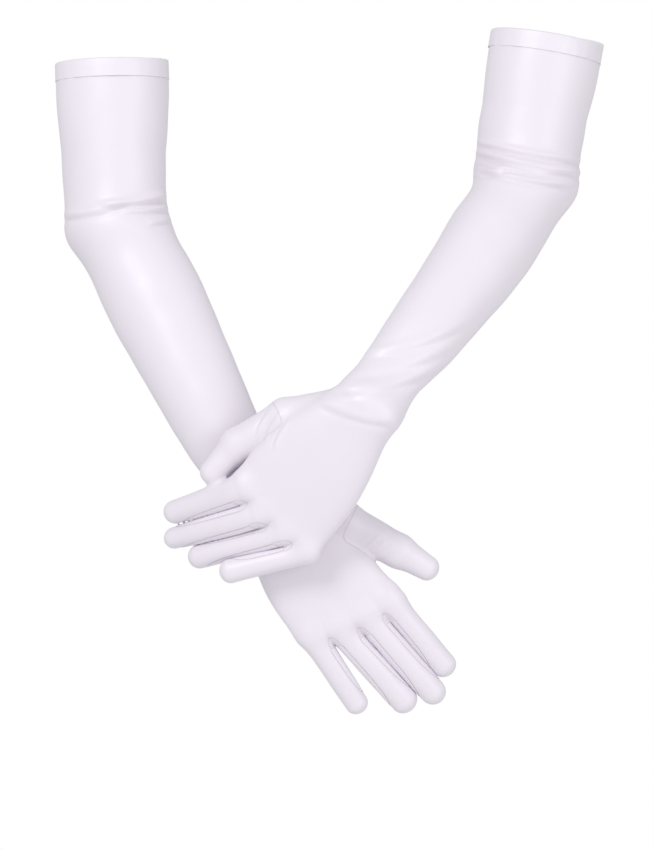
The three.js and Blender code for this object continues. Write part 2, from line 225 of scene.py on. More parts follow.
def slice_node(node, origin, normal):
    """The points where a plane crosses the edges of a CAD node."""
    mesh = frame["nodes"][node].data
    edges = np.empty(len(mesh.edges) * 2, int)
    mesh.edges.foreach_get("vertices", edges)
    points = node_points(node)
    height = (points - origin) @ normal
    a, b = edges.reshape(-1, 2).T
    crossing = height[a] * height[b] < 0
    a, b = a[crossing], b[crossing]
    share = (height[a] / (height[a] - height[b]))[:, None]
    return points[a] + share * (points[b] - points[a])


# --- Volumes ----------------------------------------------------------------------------------------


class Limb:
    """A stretch of arm, hand or finger: rounded sections strung on a straight axis.

    widths and depths are halves, and shifts move the sections sideways; each is a function of the
    share of the length. slant leans the ends towards the across direction, and a cap below 1 flattens
    them.
    """

    def __init__(self, start, end, palmward, widths, depths, shifts=None, power=2.0, cap=1.0):
        self.start = start
        self.length = np.linalg.norm(end - start)
        self.direction = unit(end - start)
        self.palmward = without(palmward, self.direction)
        self.across = np.cross(self.palmward, self.direction)
        self.widths, self.depths = widths, depths
        self.shifts = shifts or (lambda share: 0.0, lambda share: 0.0)
        self.power, self.cap = power, cap
        self.slant = 0.0

    def local(self, points):
        offset = points - self.start
        return offset @ self.across, offset @ self.palmward, offset @ self.direction

    def aside(self, points):
        """The distance of points from the axis, carried on past both of its ends."""
        x, z, _ = self.local(points)
        return np.hypot(x, z)

    def distance(self, points):
        """Roughly the distance from the surface, negative inside."""
        x, z, along = self.local(points)
        along = along + self.slant * x * smoothstep(0, self.length, along)
        inside = np.clip(along, 0, self.length)
        share = inside / self.length
        x = x - self.shifts[0](share)
        z = z - self.shifts[1](share)
        half_width, half_depth = self.widths(share), self.depths(share)
        cap = self.cap * np.minimum(half_width, half_depth)
        scaled = np.abs(np.stack([x / half_width, z / half_depth, (along - inside) / cap]))
        norm = (scaled**self.power).sum(0) ** (1 / self.power) + 1e-9
        steepness = np.stack([scaled[0] / half_width, scaled[1] / half_depth, scaled[2] / cap])
        slope = np.linalg.norm(steepness, axis=0) + 1e-3 / cap
        return norm * (norm - 1) / slope


def through(stations, values):
    """A smooth curve through a few values, held level beyond the first and the last."""
    degree = min(3, len(stations) - 1)
    curve = np.polynomial.Polynomial.fit(stations, values, degree)
    low, high = stations[0], stations[-1]
    return lambda share: curve(np.clip(share, low, high))


def measured_limb(node, start, end, stations):
    """A limb with the sections that a CAD node has at some stations between two points."""
    direction = unit(end - start)
    palmward = without(PALMWARD, direction)
    across = np.cross(palmward, direction)
    rows = []
    for station in stations:
        centre = start + station * (end - start)
        cut = slice_node(node, centre, direction) - centre
        low, high = (cut @ across).min(), (cut @ across).max()
        near, far = (cut @ palmward).min(), (cut @ palmward).max()
        rows.append(((high - low) / 2, (far - near) / 2, (high + low) / 2, (far + near) / 2))
    widths, depths, sideways, inward = (through(stations, column) for column in zip(*rows))
    return Limb(start, end, palmward, widths, depths, (sideways, inward), cap=ARM_CAP)


def line(first, last):
    return lambda share: first + (last - first) * share


class Glove:
    """One glove's landmarks, volumes and the planes that part its pieces."""

    def __init__(self, side):
        self.side = side
        self.rim = mount_at(f"{side}_arm_opening")
        self.up = unit(np.array(MOUNTS[f"{side}_arm_opening"]["axis"], float))
        self.elbow = joint_at(f"{side}_elbow")
        self.wrist = joint_at(f"{side}_wrist")
        self.roots = {name: joint_at(f"{side}_{name}_root") for name in FINGERS}
        self.knuckles = {name: joint_at(f"{side}_{name}_knuckle") for name in FINGERS}
        self.tips = {name: self.tip_of(name) for name in FINGERS}
        self.thumb_root = joint_at(f"{side}_thumb_root")
        self.thumb_knuckle = joint_at(f"{side}_thumb_knuckle")
        self.thumb_tip = self.tip_of("thumb")
        self.radial = unit(self.roots["index"] - self.roots["little"])
        self.upper = self.upper_limb()
        self.forearm = self.forearm_limb()
        self.palm = self.palm_limb()
        self.fingers = {name: self.finger_limb(name) for name in FINGERS}
        self.thumb = self.thumb_limbs()
        self.planes = self.finger_planes()
        self.thumb_seam = self.thumb_seam_plane()

    def tip_of(self, name):
        start = joint_at(f"{self.side}_{name}_knuckle")
        points = node_points(f"{self.side}_{name}_tip")
        if name == "thumb":
            direction = unit(points.mean(0) - start)
        else:
            direction = unit(start - self.roots[name])
        return start + direction * ((points - start) @ direction).max()

    def upper_limb(self):
        """The upper arm, carried on a little past the rim and drawn in a little at the elbow."""
        node = f"{self.side}_upper_sleeve"
        limb = measured_limb(node, self.rim, self.elbow, (0.16, 0.3, 0.45, 0.55))
        grow = 1 + ARM_PAST_RIM / limb.length

        def widths(share):
            narrowing = UPPER_NARROWING * smoothstep(0.7, 1, share)
            return limb.widths(share * grow - (grow - 1)) * (1 - narrowing)

        def depths(share):
            return limb.depths(share * grow - (grow - 1))

        above = self.rim + ARM_PAST_RIM * self.up
        return Limb(above, self.elbow, PALMWARD, widths, depths, cap=ARM_CAP)

    def forearm_limb(self):
        """The forearm, drawn in a little at the elbow and where it meets the wrist."""
        node = f"{self.side}_forearm_sleeve"
        limb = measured_limb(node, self.elbow, self.wrist, (0.25, 0.4, 0.55, 0.7, 0.85))
        widths, depths = limb.widths, limb.depths

        def narrowed(share):
            at_wrist = WRIST_NARROWING * smoothstep(0.7, 1, share)
            at_elbow = FOREARM_NARROWING * smoothstep(0.3, 0, share)
            return widths(share) * (1 - at_wrist - at_elbow)

        def flattened(share):
            return depths(share) * (1 - WRIST_FLATTENING * smoothstep(0.7, 1, share))

        limb.widths, limb.depths = narrowed, flattened
        return limb

    def palm_limb(self):
        """The palm: it starts with the forearm's section and ends along the line of finger roots."""
        root_line = (self.roots["index"] + self.roots["little"]) / 2
        direction = unit(root_line - self.wrist)
        end = root_line - PALM_SHORT_OF_ROOTS * direction
        across = np.cross(without(PALMWARD, direction), direction)
        root_span = abs((self.roots["index"] - self.roots["little"]) @ across)
        half_width = root_span / 2 + PALM_BESIDE_ROOTS
        wrist_width, wrist_depth = self.forearm.widths(1.0), self.forearm.depths(1.0)
        side = [wrist_width, PALM_HEEL_WIDTH, 0.97 * half_width, half_width, half_width]
        widths = through(PALM_STATIONS, side)
        depths = through(PALM_STATIONS, [wrist_depth, *PALM_DEPTHS])
        limb = Limb(self.wrist, end, PALMWARD, widths, depths, power=PALM_SQUARENESS)
        limb.slant = -np.dot(self.radial, limb.direction) / np.dot(self.radial, limb.across)
        return limb

    def reach(self, name, ends, size):
        """How far a finger reaches towards the index finger's side and towards the little finger's."""
        place = FINGERS.index(name)
        direction = unit(self.tips[name] - self.roots[name])
        reaches = []
        for other in (place - 1, place + 1):
            if 0 <= other < len(FINGERS):
                gap = ends[FINGERS[other]] - ends[name]
                room = np.linalg.norm(gap - (gap @ direction) * direction) / 2 - FINGER_CLEARANCE
                reaches.append(min(room, size + FINGER_SPREAD))
            else:
                reaches.append(size)
        return reaches

    def finger_limb(self, name):
        """A finger that fills the room between its neighbours and starts a little inside the palm."""
        root_size, tip_size = FINGER_SIZE[name]
        root_radial, root_ulnar = self.reach(name, self.roots, root_size)
        tip_radial, tip_ulnar = self.reach(name, self.tips, tip_size)
        root_width, tip_width = (root_radial + root_ulnar) / 2, (tip_radial + tip_ulnar) / 2
        direction = unit(self.tips[name] - self.roots[name])
        back = FINGER_START * (direction @ self.palm.direction) ** 5
        start = self.roots[name] - back * direction
        end = self.tips[name] - tip_width * direction
        palmward = np.cross(np.array(JOINTS[f"{self.side}_{name}_root"]["axis"]), direction)
        middle_width = 0.6 * root_width + 0.4 * tip_width
        middle_depth = 0.6 * root_size + 0.4 * tip_size
        stations = (0, 0.45, 0.7, 1)
        widths = through(stations, [root_width, root_width, middle_width, tip_width])
        root_depth = 0.95 * root_size
        depths = through(stations, [root_depth, root_depth, 0.96 * middle_depth, 0.96 * tip_size])
        limb = Limb(start, end, palmward, widths, depths)
        half = np.sign(self.radial @ limb.across) / 2
        rise = back * (direction @ self.palm.palmward)
        share_of_root = back / limb.length
        limb.shifts = (
            line(half * (root_radial - root_ulnar), half * (tip_radial - tip_ulnar)),
            lambda share: rise * np.maximum(1 - share / (2 * share_of_root), 0) ** 2,
        )
        return limb

    def thumb_limbs(self):
        """The ball of the thumb inside the palm, and the two lengths of the thumb."""
        inner = self.wrist + THUMB_INNER_SHARE * (self.thumb_root - self.wrist)
        inner = inner + THUMB_INNER_DEPTH * PALMWARD
        toward = without(PALMWARD, unit(self.thumb_tip - self.thumb_root))
        direction = unit(self.thumb_tip - self.thumb_knuckle)
        end = self.thumb_tip - THUMB_TIP_LENGTH * direction
        marks = (inner, self.thumb_root, self.thumb_knuckle, end)
        return [
            Limb(first, last, toward, line(*widths), line(*depths))
            for first, last, (widths, depths) in zip(marks, marks[1:], THUMB_SIZES)
        ]

    def crotch(self, first, second):
        """The bottom of the gap between two neighbouring fingers, a little way towards the tips."""
        directions = self.fingers[first].direction + self.fingers[second].direction
        return (self.roots[first] + self.roots[second]) / 2 + CROTCH_LIFT * unit(directions)

    def finger_planes(self):
        """A point and a direction for the plane that parts each finger from the hand."""
        crotches = [self.crotch(*gap) for gap in GAPS]
        planes = {
            "index": (crotches[0], self.fingers["index"].direction),
            "little": (crotches[2], self.fingers["little"].direction),
        }
        for name, (near, far) in (("middle", crotches[:2]), ("ring", crotches[1:])):
            normal = without(self.fingers[name].direction, unit(far - near))
            planes[name] = (near, normal)
        return planes

    def thumb_seam_plane(self):
        """A point and a direction for the plane of the seam that sets the thumb in."""
        point = self.thumb_root + THUMB_SEAM_PAST_ROOT * self.thumb[1].direction
        return point, without(self.thumb[1].direction, PALMWARD)

    def past_finger(self, name, points):
        point, normal = self.planes[name]
        return (points - point) @ normal

    def past_fingers(self, points):
        """How far points lie past the plane of the finger that they are nearest to."""
        aside = np.stack([self.fingers[name].aside(points) for name in FINGERS])
        past = np.stack([self.past_finger(name, points) for name in FINGERS])
        return np.take_along_axis(past, aside.argmin(0)[None], 0)[0]

    def past_thumb(self, points):
        """Positive on the thumb's side of its set-in seam."""
        plane = (points - self.thumb_seam[0]) @ self.thumb_seam[1]
        nearer = self.palm.distance(points) - self.thumb_field(points)
        return melt(plane, nearer + THUMB_SEAM_SHIFT, THUMB_SEAM_MELT)

    def web(self, first, second, points):
        """How far points lie outside the rounded end that a pair of fourchettes makes on the hand."""
        direction = unit(self.fingers[first].direction + self.fingers[second].direction)
        offset = points - self.crotch(first, second)
        along = np.minimum(offset @ direction, 0) * WEB_HALF_WIDTH / WEB_LENGTH
        aside = offset @ np.cross(direction, PALMWARD)
        return np.hypot(along, aside) - WEB_HALF_WIDTH

    def hand_seams(self, points):
        """The distance from the seams round the thumb and the fourchettes' ends, negative inside."""
        webs = [self.web(*gap, points) for gap in GAPS]
        return np.minimum.reduce([-self.past_thumb(points), *webs])

    def finger_seams(self, name, points):
        """The distance from the seams of a finger's fourchettes, negative on the fourchettes."""
        return np.minimum.reduce([
            -strip_values(self, name, sign, points) for _, sign in neighbours(name)
        ])

    def past_wrist(self, points):
        """Positive towards the hand from the line that parts it from the sleeve."""
        return (points - self.wrist) @ self.forearm.direction + HAND_ABOVE_WRIST

    def thumb_field(self, points):
        field = self.thumb[0].distance(points)
        for limb in self.thumb[1:]:
            field = melt(field, limb.distance(points), THUMB_JOINT_MELT)
        return field

    def palm_field(self, points):
        return melt(self.forearm.distance(points), self.palm.distance(points), WRIST_MELT)

    def sleeve_field(self, points):
        return melt(self.upper.distance(points), self.palm_field(points), ELBOW_MELT)

    def finger_field(self, name, points):
        return melt(self.palm_field(points), self.fingers[name].distance(points), FINGER_MELT)

    def hand_field(self, points):
        palm = self.palm_field(points)
        with_fingers = np.minimum.reduce([
            melt(palm, finger.distance(points), FINGER_MELT) for finger in self.fingers.values()
        ])
        return melt(with_fingers, self.thumb_field(points), THUMB_MELT)


# --- Meshes -----------------------------------------------------------------------------------------


class Cloth:
    """A sheet of faces, with the place, normal, place at rest and nearest seam of each corner."""

    def __init__(self, places, faces, normals, rest=None, seam=None):
        self.places, self.faces, self.normals = places, faces, normals
        self.rest = places if rest is None else rest
        self.seam = np.full(len(places), FAR_FROM_SEAMS) if seam is None else seam


def gradient(field, points, reach=0.25):
    rises = [field(points + step) - field(points - step) for step in np.eye(3) * reach]
    return np.stack(rises, -1) / (2 * reach)


def settle(field, points):
    """Move points straight onto a field's surface."""
    slope = gradient(field, points)
    return points - (field(points) / (slope**2).sum(1))[:, None] * slope


def grid_values(field, axes, step):
    """The field on a fine grid, worked out finely only where the surface may pass."""
    places = np.stack(np.meshgrid(*[axis[::COARSE] for axis in axes], indexing="ij"), -1)
    rough = field(places.reshape(-1, 3)).reshape(places.shape[:-1])
    near = np.abs(rough) < NEAR_SURFACE * COARSE * step
    for axis in range(3):
        near = near | np.roll(near, 1, axis) | np.roll(near, -1, axis)
        rough, near = rough.repeat(COARSE, axis), near.repeat(COARSE, axis)
        near = near | np.roll(near, -COARSE, axis)
    fine = tuple(slice(len(axis)) for axis in axes)
    values, near = rough[fine], near[fine]
    where = np.nonzero(near)
    values[where] = field(np.stack([axis[index] for axis, index in zip(axes, where)], -1))
    return values


def crossed_edges(inside, number, axis):
    """The faces round the grid edges along one axis that pass through the surface."""
    flags = np.moveaxis(inside, axis, 0)
    cells = np.moveaxis(number, axis, 0)
    before, after = flags[:-1, 1:-1, 1:-1], flags[1:, 1:-1, 1:-1]
    faces = []
    for crossing, leaving in ((before & ~after, True), (~before & after, False)):
        i, j, k = np.nonzero(crossing)
        ring = [cells[i, j, k], cells[i, j + 1, k], cells[i, j + 1, k + 1], cells[i, j, k + 1]]
        if leaving == (axis == 1):
            ring.reverse()
        faces.append(np.stack(ring, -1))
    return np.concatenate(faces)


def relaxed(places, faces):
    """Corners moved halfway to the middle of their neighbours."""
    total = np.zeros_like(places)
    count = np.zeros(len(places))
    for shift in (1, 3):
        np.add.at(total, faces.ravel(), places[np.roll(faces, shift, 1).ravel()])
        np.add.at(count, faces.ravel(), 1)
    return 0.5 * (places + total / np.maximum(count, 1)[:, None])


def corner_normals(places, faces):
    a, b, c, d = (places[faces[:, i]] for i in range(4))
    each = np.cross(c - a, d - b)
    total = np.zeros_like(places)
    for i in range(4):
        np.add.at(total, faces[:, i], each)
    return unit(total + 1e-12)


def net(field, seams, relief, low, high, step):
    """A sheet of even quads on the surface of a field inside a box, raised by a relief."""
    axes = [np.arange(a, b + step, step) for a, b in zip(low, high)]
    inside = grid_values(field, axes, step) < 0
    ends = [(slice(None, -1), slice(1, None))] * 3
    counts = sum(inside[i, j, k].astype(int) for i in ends[0] for j in ends[1] for k in ends[2])
    mixed = (counts > 0) & (counts < 8)
    number = np.full(mixed.shape, -1)
    number[mixed] = np.arange(mixed.sum())
    places = np.stack([axis[index] for axis, index in zip(axes, np.nonzero(mixed))], -1) + step / 2
    faces = np.concatenate([crossed_edges(inside, number, axis) for axis in range(3)])
    for _ in range(RELAX_ROUNDS):
        places = settle(field, relaxed(settle(field, places), faces))
    rest = settle(field, places)
    places = rest + relief(rest, unit(gradient(field, rest)))[:, None] * corner_normals(rest, faces)
    return Cloth(places, faces, corner_normals(places, faces), rest, seams(rest))


def no_seams(points):
    return np.full(len(points), FAR_FROM_SEAMS)


def trimmed(cloth, values):
    """The part of a sheet where the values at its corners are positive, cut smoothly at zero."""
    bm = bmesh.new()
    layers = [bm.verts.layers.float_vector.new(name) for name in ("places", "normals", "rest")]
    layers.append(bm.verts.layers.float.new("seam"))
    columns = (cloth.places, cloth.normals, cloth.rest, cloth.seam)
    for value, *row in zip(values, *columns):
        vert = bm.verts.new((value, row[0][1], row[0][2]))
        for layer, entry in zip(layers, row):
            vert[layer] = entry
    verts = list(bm.verts)
    for face in cloth.faces:
        if max(values[i] for i in face) > 0:
            bm.faces.new([verts[i] for i in face])
    geometry = [*bm.verts, *bm.edges, *bm.faces]
    cut = {"plane_co": (0, 0, 0), "plane_no": (-1, 0, 0), "clear_outer": True}
    bmesh.ops.bisect_plane(bm, geom=geometry, dist=1e-5, **cut)
    bmesh.ops.delete(bm, geom=[vert for vert in bm.verts if not vert.link_faces], context="VERTS")
    bm.verts.index_update()
    places, normals, rest = (np.array([vert[layer][:] for vert in bm.verts]) for layer in layers[:3])
    seam = np.array([vert[layers[3]] for vert in bm.verts])
    faces = [[vert.index for vert in face.verts] for face in bm.faces]
    bm.free()
    return Cloth(places, faces, unit(normals), rest, seam)


def box_round(points, margin):
    return np.min(points, 0) - margin, np.max(points, 0) + margin


def open_edges(faces):
    """The directed edges that only one face has."""
    edges = {(a, b) for face in faces for a, b in zip(face, face[1:] + face[:1])}
    return [(a, b) for a, b in edges if (b, a) not in edges]


def add_object(name, places, faces, normals, rest, seam):
    mesh = bpy.data.meshes.new(name)
    mesh.from_pydata(places * MM, [], faces)
    rest_layer = mesh.attributes.new("rest", "FLOAT_VECTOR", "POINT")
    rest_layer.data.foreach_set("vector", (rest * MM).ravel())
    seam_layer = mesh.attributes.new("seam", "FLOAT", "POINT")
    seam_layer.data.foreach_set("value", seam)
    mesh.shade_smooth()
    mesh.normals_split_custom_set_from_vertices(normals)
    obj = bpy.data.objects.new(name, mesh)
    bpy.context.scene.collection.objects.link(obj)
    return obj


def add_cloth(name, cloth, material, thickness=THICKNESS):
    """An object with an outer and an inner face and a rim between them."""
    count = len(cloth.places)
    outer = [list(face) for face in cloth.faces]
    inner = [[i + count for i in reversed(face)] for face in outer]
    rim = [[b, a, a + count, b + count] for a, b in open_edges(outer)]
    places = np.concatenate([cloth.places, cloth.places - thickness * cloth.normals])
    normals = np.concatenate([cloth.normals, -cloth.normals])
    rest, seam = np.concatenate([cloth.rest] * 2), np.concatenate([cloth.seam] * 2)
    obj = add_object(name, places, outer + inner + rim, normals, rest, seam)
    obj.data.materials.append(material)
    return obj


# --- Folds and seams --------------------------------------------------------------------------------

# Each fold runs between two points of the front view (X, Z); then its height and its half width.
FOLDS = {
    "right": [
        ((-34, -110), (10, -102.5), 1.8, 2.8),
        ((-4, -103.5), (38, -96), 2.2, 2.6),
        ((10, -108.5), (41, -104), 1.5, 2.0),
        ((28, -117), (43, -112), 1.1, 1.8),
        ((182, -347), (190, -340), 0.5, 1.2),
        ((186, -351), (195, -344), 0.5, 1.2),
        ((190, -355), (200, -348), 0.4, 1.2),
    ],
    "left": [
        ((260, -56.5), (336, -71), 1.9, 2.3),
        ((260, -64), (337, -80), 2.4, 2.4),
        ((257, -70.5), (319, -82), 1.7, 1.9),
        ((258, -75), (324, -89.5), 1.8, 2.1),
        ((254, -80), (280, -79), 1.3, 2.0),
        ((183, -209.5), (245, -191.5), 0.9, 3.2),
        ((170, -224), (236, -208), 0.5, 3.0),
        ((154, -237), (228, -222), 1.0, 3.2),
        ((149, -243.5), (196, -258), 0.7, 3.0),
        ((121, -254), (112, -272), 0.6, 1.3),
        ((115, -251), (106, -268), 0.6, 1.3),
        ((127, -259), (118, -277), 0.5, 1.3),
    ],
}
# The creases at the back of each elbow: how many, their height and their half width.
INNER_FOLDS = {"right": (7, 1.0, 3.0), "left": (8, 1.1, 3.0)}
# In half widths, in shares of the distance across, in radians from crease to crease, and in creases.
CREASE_SPACING = 2.6
CREASE_TILT = 0.25
CREASE_TURN = 2.3
CREASE_FADE = 0.45
# Soft waves: radians for each millimetre along X, Y and Z, the phase at the start, and the height.
WAVES = (
    (0.061, 0.037, 0.052, 0.4, 0.18),
    (-0.043, 0.071, 0.031, 2.1, 0.18),
    (0.029, -0.052, 0.083, 4.4, 0.16),
    (0.170, 0.060, 0.110, 1.3, 0.07),
    (-0.120, 0.090, 0.190, 3.6, 0.07),
    (0.210, -0.110, -0.060, 5.2, 0.05),
)


def ridge(distance, half_width):
    """A rounded ridge with a shallow valley under it."""
    crest = np.exp(-((distance / half_width) ** 2))
    valley = np.exp(-(((distance + 1.7 * half_width) / (0.7 * half_width)) ** 2))
    return crest - 0.7 * valley


def fold_height(points, start, end, height, half_width):
    """One fold across the front of the glove, dying out at both ends."""
    start, end = np.array(start), np.array(end)
    run = end - start
    length = np.linalg.norm(run)
    offset = points[:, ::2] - start
    along = offset @ run / length
    sideways = (offset @ np.array([-run[1], run[0]])) / length
    bow = 0.05 * length * ((2 * along / length - 1) ** 2 - 1)
    begins = smoothstep(-0.2 * length, 0.15 * length, along)
    ends = smoothstep(1.2 * length, 0.85 * length, along)
    return height * begins * ends * ridge(sideways - bow, half_width)


def relief_of(glove):
    """The relief of a glove: folds on the front, soft waves, and creases at the back of the elbow."""

    def relief(points, normals):
        front = smoothstep(-0.15, 0.45, -normals[:, 1])
        height = sum(front * fold_height(points, *fold) for fold in FOLDS[glove.side])
        for x, y, z, phase, wave in WAVES:
            height = height + wave * np.sin(points @ np.array([x, y, z]) + phase)
        return height + elbow_creases(glove, points, normals)

    return relief


def elbow_creases(glove, points, normals):
    """Creases across the crook of the elbow, on the side away from the viewer."""
    count, height, half_width = INNER_FOLDS[glove.side]
    along = (points - glove.elbow) @ unit(glove.forearm.direction - glove.up)
    aside = (points - glove.elbow) @ np.cross(PALMWARD, glove.forearm.direction)
    back = smoothstep(0.0, 0.6, normals[:, 1])
    creases = 0
    for index in range(count):
        from_middle = index - (count - 1) / 2
        middle = from_middle * CREASE_SPACING * half_width
        tilt = CREASE_TILT * math.sin(CREASE_TURN * index)
        fade = math.exp(-((from_middle / (CREASE_FADE * count)) ** 2))
        creases = creases + fade * ridge(along - middle - tilt * aside, half_width)
    return height * back * creases


# --- Materials --------------------------------------------------------------------------------------


# Along a seam the colour is darkened into a line of painted shade, standing in for the shade in the seam's groove;
# it fades out between these distances, in millimetres.
SEAM_LINE = (0.1, 0.4)
SEAM_BUMP = (0.5, 0.0004)
GRAIN_SCALE = 900
GRAIN_BUMP = (0.12, 0.0002)
SATIN_ROUGHNESS = 0.42


def add_node(nodes, kind, values):
    """A shader node, with some of its sockets set."""
    node = nodes.new(kind)
    for socket, value in values.items():
        node.inputs[socket].default_value = value
    return node


def add_attribute(nodes, name):
    node = nodes.new("ShaderNodeAttribute")
    node.attribute_name = name
    return node


def add_bump(nodes, size):
    strength, distance = size
    return add_node(nodes, "ShaderNodeBump", {"Strength": strength, "Distance": distance})


def satin(name, colour):
    """Smooth satin with a faint grain, laid out by where the cloth is at rest, and with seam lines of painted
    shade over a groove bump.
    """
    material = plain(name, colour, SATIN_ROUGHNESS)
    nodes, links = material.node_tree.nodes, material.node_tree.links
    shader = nodes["Principled BSDF"]
    seam = add_attribute(nodes, "seam")
    beside = nodes.new("ShaderNodeMath")
    beside.operation = "ABSOLUTE"
    line_start, line_end = SEAM_LINE
    near = add_node(nodes, "ShaderNodeMapRange", {"From Min": line_start, "From Max": line_end})
    # Painted shade: the base colour is darkened along the seams, as if in the shade of their grooves.
    shade = nodes.new("ShaderNodeMix")
    shade.data_type = "RGBA"
    shade.inputs["A"].default_value = (*[SEAM_PAINTED_SHADE * part for part in colour], 1)
    shade.inputs["B"].default_value = (*colour, 1)
    links.new(seam.outputs["Fac"], beside.inputs[0])
    links.new(beside.outputs["Value"], near.inputs["Value"])
    links.new(near.outputs["Result"], shade.inputs["Factor"])
    links.new(shade.outputs["Result"], shader.inputs["Base Color"])
    rest = add_attribute(nodes, "rest")
    grain = add_node(nodes, "ShaderNodeTexNoise", {"Scale": GRAIN_SCALE, "Detail": 3})
    bump = add_bump(nodes, GRAIN_BUMP)
    groove = add_bump(nodes, SEAM_BUMP)
    links.new(rest.outputs["Vector"], grain.inputs["Vector"])
    links.new(grain.outputs["Fac"], bump.inputs["Height"])
    links.new(near.outputs["Result"], groove.inputs["Height"])
    links.new(bump.outputs["Normal"], groove.inputs["Normal"])
    links.new(groove.outputs["Normal"], shader.inputs["Normal"])
    return material


def plain(name, colour, roughness):
    material = bpy.data.materials.new(name)
    material.use_nodes = True
    shader = material.node_tree.nodes["Principled BSDF"]
    shader.inputs["Base Color"].default_value = (*colour, 1)
    shader.inputs["Roughness"].default_value = roughness
    return material


SHELL = satin("satin_shell", (0.80, 0.755, 0.83))
GUSSET = satin("satin_fourchette", (0.83, 0.79, 0.86))
HEM = satin("hem_satin", (0.81, 0.765, 0.84))
TAPE = plain("elastic_tape", (0.80, 0.80, 0.79), 0.8)


# --- Pieces -----------------------------------------------------------------------------------------


def bend(obj, glove, first, second, start, end):
    """Bake a piece's transform into its mesh."""
    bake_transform(obj)


def add_sleeve(glove):
    down = glove.forearm.direction
    past = glove.wrist - (HAND_ABOVE_WRIST - SLEEVE_PAST_CUT) * down
    box = box_round([glove.rim, glove.elbow, past], SLEEVE_ROOM)
    cloth = net(glove.sleeve_field, no_seams, relief_of(glove), *box, SLEEVE_STEP)
    cloth = trimmed(cloth, OVERLAP - glove.past_wrist(cloth.rest))
    cloth = trimmed(cloth, (glove.rim - cloth.rest) @ glove.up - HEM_INSET)
    obj = add_cloth(f"{glove.side}_sleeve", cloth, SHELL)
    start, end = glove.elbow + ELBOW_BEND * glove.up, glove.elbow + ELBOW_BEND * down
    bend(obj, glove, "upper_arm", "forearm", start, end)
    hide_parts(f"{glove.side}_upper_sleeve", f"{glove.side}_forearm_sleeve")
    girth = math.pi * (glove.upper.widths(0) + glove.upper.depths(0)) * MM


def add_hand(glove):
    """The hand, and the thumb cut from the same net."""
    up, down = -glove.forearm.direction, glove.palm.direction
    past = glove.wrist + (HAND_ABOVE_WRIST + HAND_PAST_CUT) * up
    marks = [past, glove.wrist, glove.thumb_tip, *(glove.roots.values())]
    box = box_round(marks, HAND_ROOM)
    cloth = net(glove.hand_field, glove.hand_seams, relief_of(glove), *box, HAND_STEP)
    cloth = trimmed(cloth, glove.past_wrist(cloth.rest))
    hand = trimmed(cloth, OVERLAP - glove.past_thumb(cloth.rest))
    hand = trimmed(hand, OVERLAP - glove.past_fingers(hand.rest))
    obj = add_cloth(f"{glove.side}_hand_satin", hand, SHELL)
    bend(obj, glove, "forearm", "hand", glove.wrist + WRIST_BEND * up, glove.wrist + WRIST_BEND * down)
    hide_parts(f"{glove.side}_hand")
    add_thumb(glove, trimmed(cloth, glove.past_thumb(cloth.rest)))


def add_thumb(glove, cloth):
    """The two lengths of the thumb, parted between its root and its knuckle."""
    base_direction, tip_direction = glove.thumb[1].direction, glove.thumb[2].direction
    middle = (glove.thumb_root + glove.thumb_knuckle) / 2 + THUMB_CUT_PAST_MIDDLE * base_direction
    past = (cloth.rest - middle) @ base_direction
    base = add_cloth(f"{glove.side}_thumb_base_satin", trimmed(cloth, OVERLAP - past), SHELL)
    seam, _ = glove.thumb_seam
    start, end = seam - THUMB_BEND_BACK * base_direction, seam + THUMB_BEND * base_direction
    bend(base, glove, "hand", "thumb_base", start, end)
    tip = add_cloth(f"{glove.side}_thumb_tip_satin", trimmed(cloth, past), SHELL)
    knuckle = glove.thumb_knuckle
    start, end = knuckle - KNUCKLE_BEND * base_direction, knuckle + KNUCKLE_BEND * tip_direction
    bend(tip, glove, "thumb_base", "thumb_tip", start, end)
    for obj, node in ((base, "thumb_base"), (tip, "thumb_tip")):
        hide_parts(f"{glove.side}_{node}")


def neighbours(name):
    """The sides of a finger that face another finger, with the sign towards the index finger."""
    place = FINGERS.index(name)
    sides = []
    if place > 0:
        sides.append(("radial", 1))
    if place < len(FINGERS) - 1:
        sides.append(("ulnar", -1))
    return sides


def strip_values(glove, name, sign, points):
    """Positive on the strip of a finger that its fourchette covers."""
    limb = glove.fingers[name]
    x, z, along = limb.local(points)
    towards = sign * np.sign(np.dot(glove.radial, limb.across))
    angle = np.arctan2(np.abs(z) / limb.depths(0.5), towards * x / limb.widths(0.5))
    share = np.clip(along / (limb.length - STRIP_SHORT_OF_TIP), 0, 1)
    limit = STRIP_ANGLE * np.sqrt(np.maximum(1 - share**6, 0))
    return (limit - angle) * limb.widths(0.5) - STRIP_CLOSING * smoothstep(0.97, 1.05, share)


def finger_net(glove, name):
    """The cloth of a whole finger, from the plane that parts it from the hand."""
    limb = glove.fingers[name]
    marks = [glove.roots[name] - FINGER_PAST_CUT * limb.direction, glove.tips[name]]
    box = box_round(marks, FINGER_ROOM)
    cloth = net(
        lambda points: glove.finger_field(name, points),
        lambda points: glove.finger_seams(name, points),
        relief_of(glove),
        *box,
        FINGER_STEP,
    )
    return trimmed(cloth, glove.past_finger(name, cloth.rest))


def add_finger_part(glove, name, part, cloth, bending):
    """The base or the tip of a finger: its fourchettes, and the rest of its satin."""
    for side, sign in neighbours(name):
        values = strip_values(glove, name, sign, cloth.rest)
        strip = trimmed(cloth, values)
        strip.places = strip.places + STRIP_LIFT * strip.normals
        node = f"{glove.side}_{name}_{side}_fourchette_{part}"
        obj = add_cloth(f"{node}_satin", strip, GUSSET)
        bend(obj, glove, *bending)
        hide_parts(node)
        cloth = trimmed(cloth, -values)
    obj = add_cloth(f"{glove.side}_{name}_{part}_satin", cloth, SHELL)
    bend(obj, glove, *bending)
    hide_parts(f"{glove.side}_{name}_{part}")


